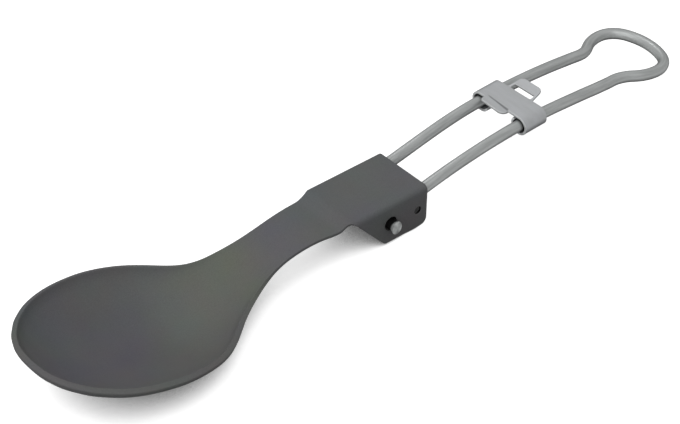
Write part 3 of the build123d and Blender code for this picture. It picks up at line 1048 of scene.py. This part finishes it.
def streaked_metal(name, finish, bright, dark, spot_name, stretch, roughness, gap_reach, shade, rubbed=None):
    """Bare titanium with streaks that run one way: along the drawn wire, or across the rolled sheet.

    Painted shade darkens it at grazing angles, on undersides, in narrow gaps and where shade says.
    """
    painted_shade_black = (0.01, 0.01, 0.01, 1)
    material, tree, shader, place = new_material(name)
    spot = place.outputs["Object"]
    stretched = node(
        tree, "ShaderNodeMapping", (-900, 0), Vector=place.outputs[spot_name], Scale=stretch)
    streaks = node(
        tree, "ShaderNodeTexNoise", (-700, 100), Vector=stretched.outputs["Vector"],
        Scale=1 / finish.metal_grain, Detail=4.0)
    sharper = mapped(tree, (-500, 100), streaks.outputs["Fac"], 0.32, 0.66)
    tone = mixed(tree, (-250, 150), sharper, (*dark, 1), (*bright, 1))
    grain = placed_group(
        tree, "Fine grain", grain_group, (-700, -200), Vector=spot, Fineness=1 / finish.head_grain)
    feed(tree, shader.inputs["Roughness"], mapped(tree, (0, -100), sharper, 0.0, 1.0, *roughness))
    if rubbed:
        tone = rubbed_edges(tree, spot, tone, rubbed, 0.16 * mm, finish.wear * 2)
    # Painted shade: the colour goes towards nearly black at grazing angles, on faces turned downwards and in
    # narrow gaps.
    looked_at = node(tree, "ShaderNodeLayerWeight", (0, 450), Blend=0.5)
    grazing = mapped(tree, (180, 450), looked_at.outputs["Facing"], 0.50, 0.95, 0.0, 0.60)
    surface = node(tree, "ShaderNodeNewGeometry", (-400, 850))
    facing = node(tree, "ShaderNodeSeparateXYZ", (-200, 900))
    feed(tree, facing.inputs[0], surface.outputs["Normal"])
    underside = mapped(tree, (0, 850), facing.outputs["Z"], 0.25, -0.6, 0.0, 0.75, soft=True)
    gaps = placed_group(tree, "Narrow gaps", gap_group, (0, 300), Reach=gap_reach)
    painted_shade_mask = shade(tree)
    for step_down, other in enumerate((grazing, underside, gaps["Mask"])):
        painted_shade_mask = calculated(tree, (330, 800 - 150 * step_down), "MAXIMUM", painted_shade_mask, other)
    tone = mixed(tree, (330, 200), painted_shade_mask, tone, painted_shade_black)
    feed(tree, shader.inputs["Base Color"], tone)
    shader.inputs["Metallic"].default_value = 0.5
    shader.inputs["Specular Tint"].default_value = (0.35, 0.36, 0.36, 1)
    bump(tree, shader, grain["Height"], 0.008 * mm, 0.5)
    return material


class SPOON_OT_head(bpy.types.Operator):
    """Press the sheet head: bowl, neck and folded channel with its holes"""
    bl_idname = "spoon.head"
    bl_label = "Head"

    def execute(self, context):
        sizes = context.scene.spoon_head_sizes
        shape = HeadShape(sizes)
        # The walls of its holes take full painted shade.
        piece = pressed_sheet(
            "pressed_head", shape.outline(0.4 * mm), shape.holes(), shape.lines(), shape.press,
            shape.thickness, sizes.edge, sizes.under_edge, hole_shade=1)
        piece.data.materials.append(dark_titanium(context.scene.spoon_finish))
        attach(piece, "head")
        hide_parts("spoon_head")
        return {"FINISHED"}


class SPOON_OT_handle(bpy.types.Operator):
    """Bend the wire handle, from one pivot pin round the loop to the other"""
    bl_idname = "spoon.handle"
    bl_label = "Handle"

    def execute(self, context):
        scene = context.scene
        sizes = scene.spoon_handle_sizes
        path = HandlePath(sizes, scene.spoon_head_sizes).walk()
        piece = drawn_wire(
            "bent_wire", path, sizes.wire, sizes.pin_chamfer, sizes.pin_pinch, sizes.pinch_run)
        finish = scene.spoon_finish
        piece.data.materials.append(streaked_metal(
            "handle_wire", finish, finish.wire, finish.wire_dark, spot_name="UV", stretch=(0.25, 0.02, 1),
            roughness=(0.42, 0.32), gap_reach=1.6 * mm, shade=pin_shade))
        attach(piece, "handle")
        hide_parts("wire_handle")
        return {"FINISHED"}


class SPOON_OT_lock(bpy.types.Operator):
    """Bend the slide lock round the two legs"""
    bl_idname = "spoon.lock"
    bl_label = "Slide lock"

    def execute(self, context):
        scene = context.scene
        sizes = scene.spoon_lock_sizes
        handle = HandlePath(scene.spoon_handle_sizes, scene.spoon_head_sizes)
        shape = LockShape(sizes, scene.spoon_handle_sizes)
        middle = sizes.place + sizes.length / 2
        spot = handle.arch_point(middle) + Vector((0, sizes.aside, 0))
        seat = Matrix.Translation(spot) @ Matrix.Rotation(-handle.slope(middle), 4, "Y")
        turned = np.array(seat @ Matrix.Rotation(sizes.askew, 4, "Z"))

        def press(flat):
            return shape.press(flat) @ turned[:3, :3].T + turned[:3, 3]

        def thickness(flat):
            return np.full(len(flat), sizes.sheet)

        piece = pressed_sheet(
            "bent_lock", shape.outline(0.2 * mm), shape.holes(), shape.lines(), press, thickness,
            sizes.edge, sizes.edge, shape.crease)
        finish = scene.spoon_finish
        piece.data.materials.append(streaked_metal(
            "lock_sheet", finish, finish.lock, finish.lock_dark, spot_name="Object", stretch=(1, 0.15, 1),
            roughness=(0.62, 0.52), gap_reach=0.6 * mm, shade=crease_shade, rubbed=finish.lock_worn))
        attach(piece, "lock")
        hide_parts("slide_lock")
        return {"FINISHED"}


class SPOON_OT_stage(bpy.types.Operator):
    """Set up the floor, the soft lamps and the camera"""
    bl_idname = "spoon.stage"
    bl_label = "Stage"

    def execute(self, context):
        scene = context.scene
        stage = scene.spoon_stage
        lay_floor(stage)
        hang_lamp("key_lamp", place=(-0.56, -0.22, 0.80), width=1.3, power=5.0)
        hang_lamp("fill_lamp", place=(0.46, 1.20, 1.54), width=0.5, power=2.4)
        light_world(scene)
        place_camera(scene, stage)
        scene.view_settings.view_transform = "Standard"
        return {"FINISHED"}


def lay_floor(stage):
    """A wide plain floor. The camera and reflections see it white; the lamps see a mid grey.

    Where the object covers it, the floor is left to its own shadow. A soft disc under the channel is left
    dark as well, by hand and not by the light, so that the channel's small hole looks dark in the main view.
    """
    reach = 1.5
    mesh = bpy.data.meshes.new("floor")
    corners = [(-reach, -reach, 0), (reach, -reach, 0), (reach, reach, 0), (-reach, reach, 0)]
    mesh.from_pydata(corners, [], [(0, 1, 2, 3)])
    floor = bpy.data.objects.new("floor", mesh)
    bpy.context.scene.collection.objects.link(floor)
    material, tree, shader, place = new_material("plain_floor")
    rays = node(tree, "ShaderNodeLightPath", (-600, 200)).outputs
    sky = node(tree, "ShaderNodeAmbientOcclusion", (-600, -250), Distance=25 * mm)
    openness = mapped(tree, (-400, -250), sky.outputs["AO"], 0.12, 0.45)
    disc = placed_group(
        tree, "Soft spot", spot_group, (-900, -450), Vector=place.outputs["Object"],
        Centre=(6.2 * mm, -1.8 * mm, 0), Whole=5.5 * mm, Gone=6.2 * mm)
    uncovered = calculated(tree, (-200, -350), "SUBTRACT", openness, disc["Mask"], clamp=True)
    seen = calculated(tree, (-350, 250), "ADD", rays["Is Camera Ray"], rays["Is Glossy Ray"])
    seen = calculated(tree, (-150, 200), "ADD", seen, rays["Is Transmission Ray"], clamp=True)
    seen_white = calculated(tree, (-50, 50), "MULTIPLY", seen, uncovered)
    tint = mixed(tree, (100, 100), seen_white, (*stage.floor, 1), (*stage.backdrop, 1))
    feed(tree, shader.inputs["Base Color"], tint)
    shader.inputs["Roughness"].default_value = 1.0
    shader.inputs["Specular IOR Level"].default_value = 0.0
    glowing = calculated(tree, (-150, -150), "MULTIPLY", rays["Is Camera Ray"], uncovered)
    glow = calculated(tree, (100, -150), "MULTIPLY", glowing, stage.floor_glow)
    shader.inputs["Emission Color"].default_value = (*stage.backdrop, 1)
    feed(tree, shader.inputs["Emission Strength"], glow)
    mesh.materials.append(material)


def hang_lamp(name, place, width, power):
    """A soft square lamp that faces the middle of the floor."""
    light = bpy.data.lights.new(name, "AREA")
    light.shape = "SQUARE"
    light.size = width
    light.energy = power
    lamp = bpy.data.objects.new(name, light)
    lamp.location = place
    lamp.rotation_euler = (-Vector(place)).to_track_quat("-Z", "Y").to_euler()
    bpy.context.scene.collection.objects.link(lamp)


def light_world(scene):
    """A plain grey surround."""
    grey = 0.40
    world = scene.world or bpy.data.worlds.new("surround")
    scene.world = world
    world.use_nodes = True
    background = world.node_tree.nodes["Background"]
    background.inputs["Color"].default_value = (grey, grey, grey, 1)
    background.inputs["Strength"].default_value = 1.0


def place_camera(scene, stage):
    """The camera where the photograph was taken from."""
    azimuth, elevation = stage.azimuth, stage.elevation
    level = math.cos(elevation)
    right = Vector((math.cos(azimuth), math.sin(azimuth), 0))
    towards = Vector((math.sin(azimuth) * level, -math.cos(azimuth) * level, math.sin(elevation)))
    up = towards.cross(right)
    spot = towards * stage.distance - right * stage.right - up * stage.above
    data = bpy.data.cameras.new("camera")
    data.sensor_fit = "HORIZONTAL"
    data.lens = stage.focal_pixels * data.sensor_width / stage.view_width
    data.clip_start = 1 * mm
    data.clip_end = 10
    camera = bpy.data.objects.new("camera", data)
    axes = Matrix((right, up, towards)).transposed().to_4x4()
    camera.matrix_world = standing @ (Matrix.Translation(spot) @ axes)
    scene.collection.objects.link(camera)
    scene.camera = camera


class SPOON_PT_panel(bpy.types.Panel):
    """The spoon's pieces and sizes"""
    bl_idname = "SPOON_PT_panel"
    bl_label = "Folding spoon"
    bl_space_type = "VIEW_3D"
    bl_region_type = "UI"
    bl_category = "Spoon"

    def draw(self, context):
        for operator in operators:
            self.layout.operator(operator.bl_idname)
        for name, group in groups.items():
            box = self.layout.box()
            box.label(text=group.__doc__)
            for key in group.__annotations__:
                box.prop(getattr(context.scene, name), key)


groups = {
    "spoon_head_sizes": SpoonHeadSizes,
    "spoon_handle_sizes": SpoonHandleSizes,
    "spoon_lock_sizes": SpoonLockSizes,
    "spoon_finish": SpoonFinish,
    "spoon_stage": SpoonStage,
}
operators = [SPOON_OT_head, SPOON_OT_handle, SPOON_OT_lock, SPOON_OT_stage]


def register():
    for name, group in groups.items():
        bpy.utils.register_class(group)
        setattr(bpy.types.Scene, name, bpy.props.PointerProperty(type=group))
    for kind in [*operators, SPOON_PT_panel]:
        bpy.utils.register_class(kind)


def unregister():
    for kind in [SPOON_PT_panel, *reversed(operators)]:
        bpy.utils.unregister_class(kind)
    for name, group in reversed(list(groups.items())):
        delattr(bpy.types.Scene, name)
        bpy.utils.unregister_class(group)


def main():
    register()
    bpy.ops.spoon.head()
    bpy.ops.spoon.handle()
    bpy.ops.spoon.lock()
    bpy.ops.spoon.stage()


if __name__ == "__main__":
    main()
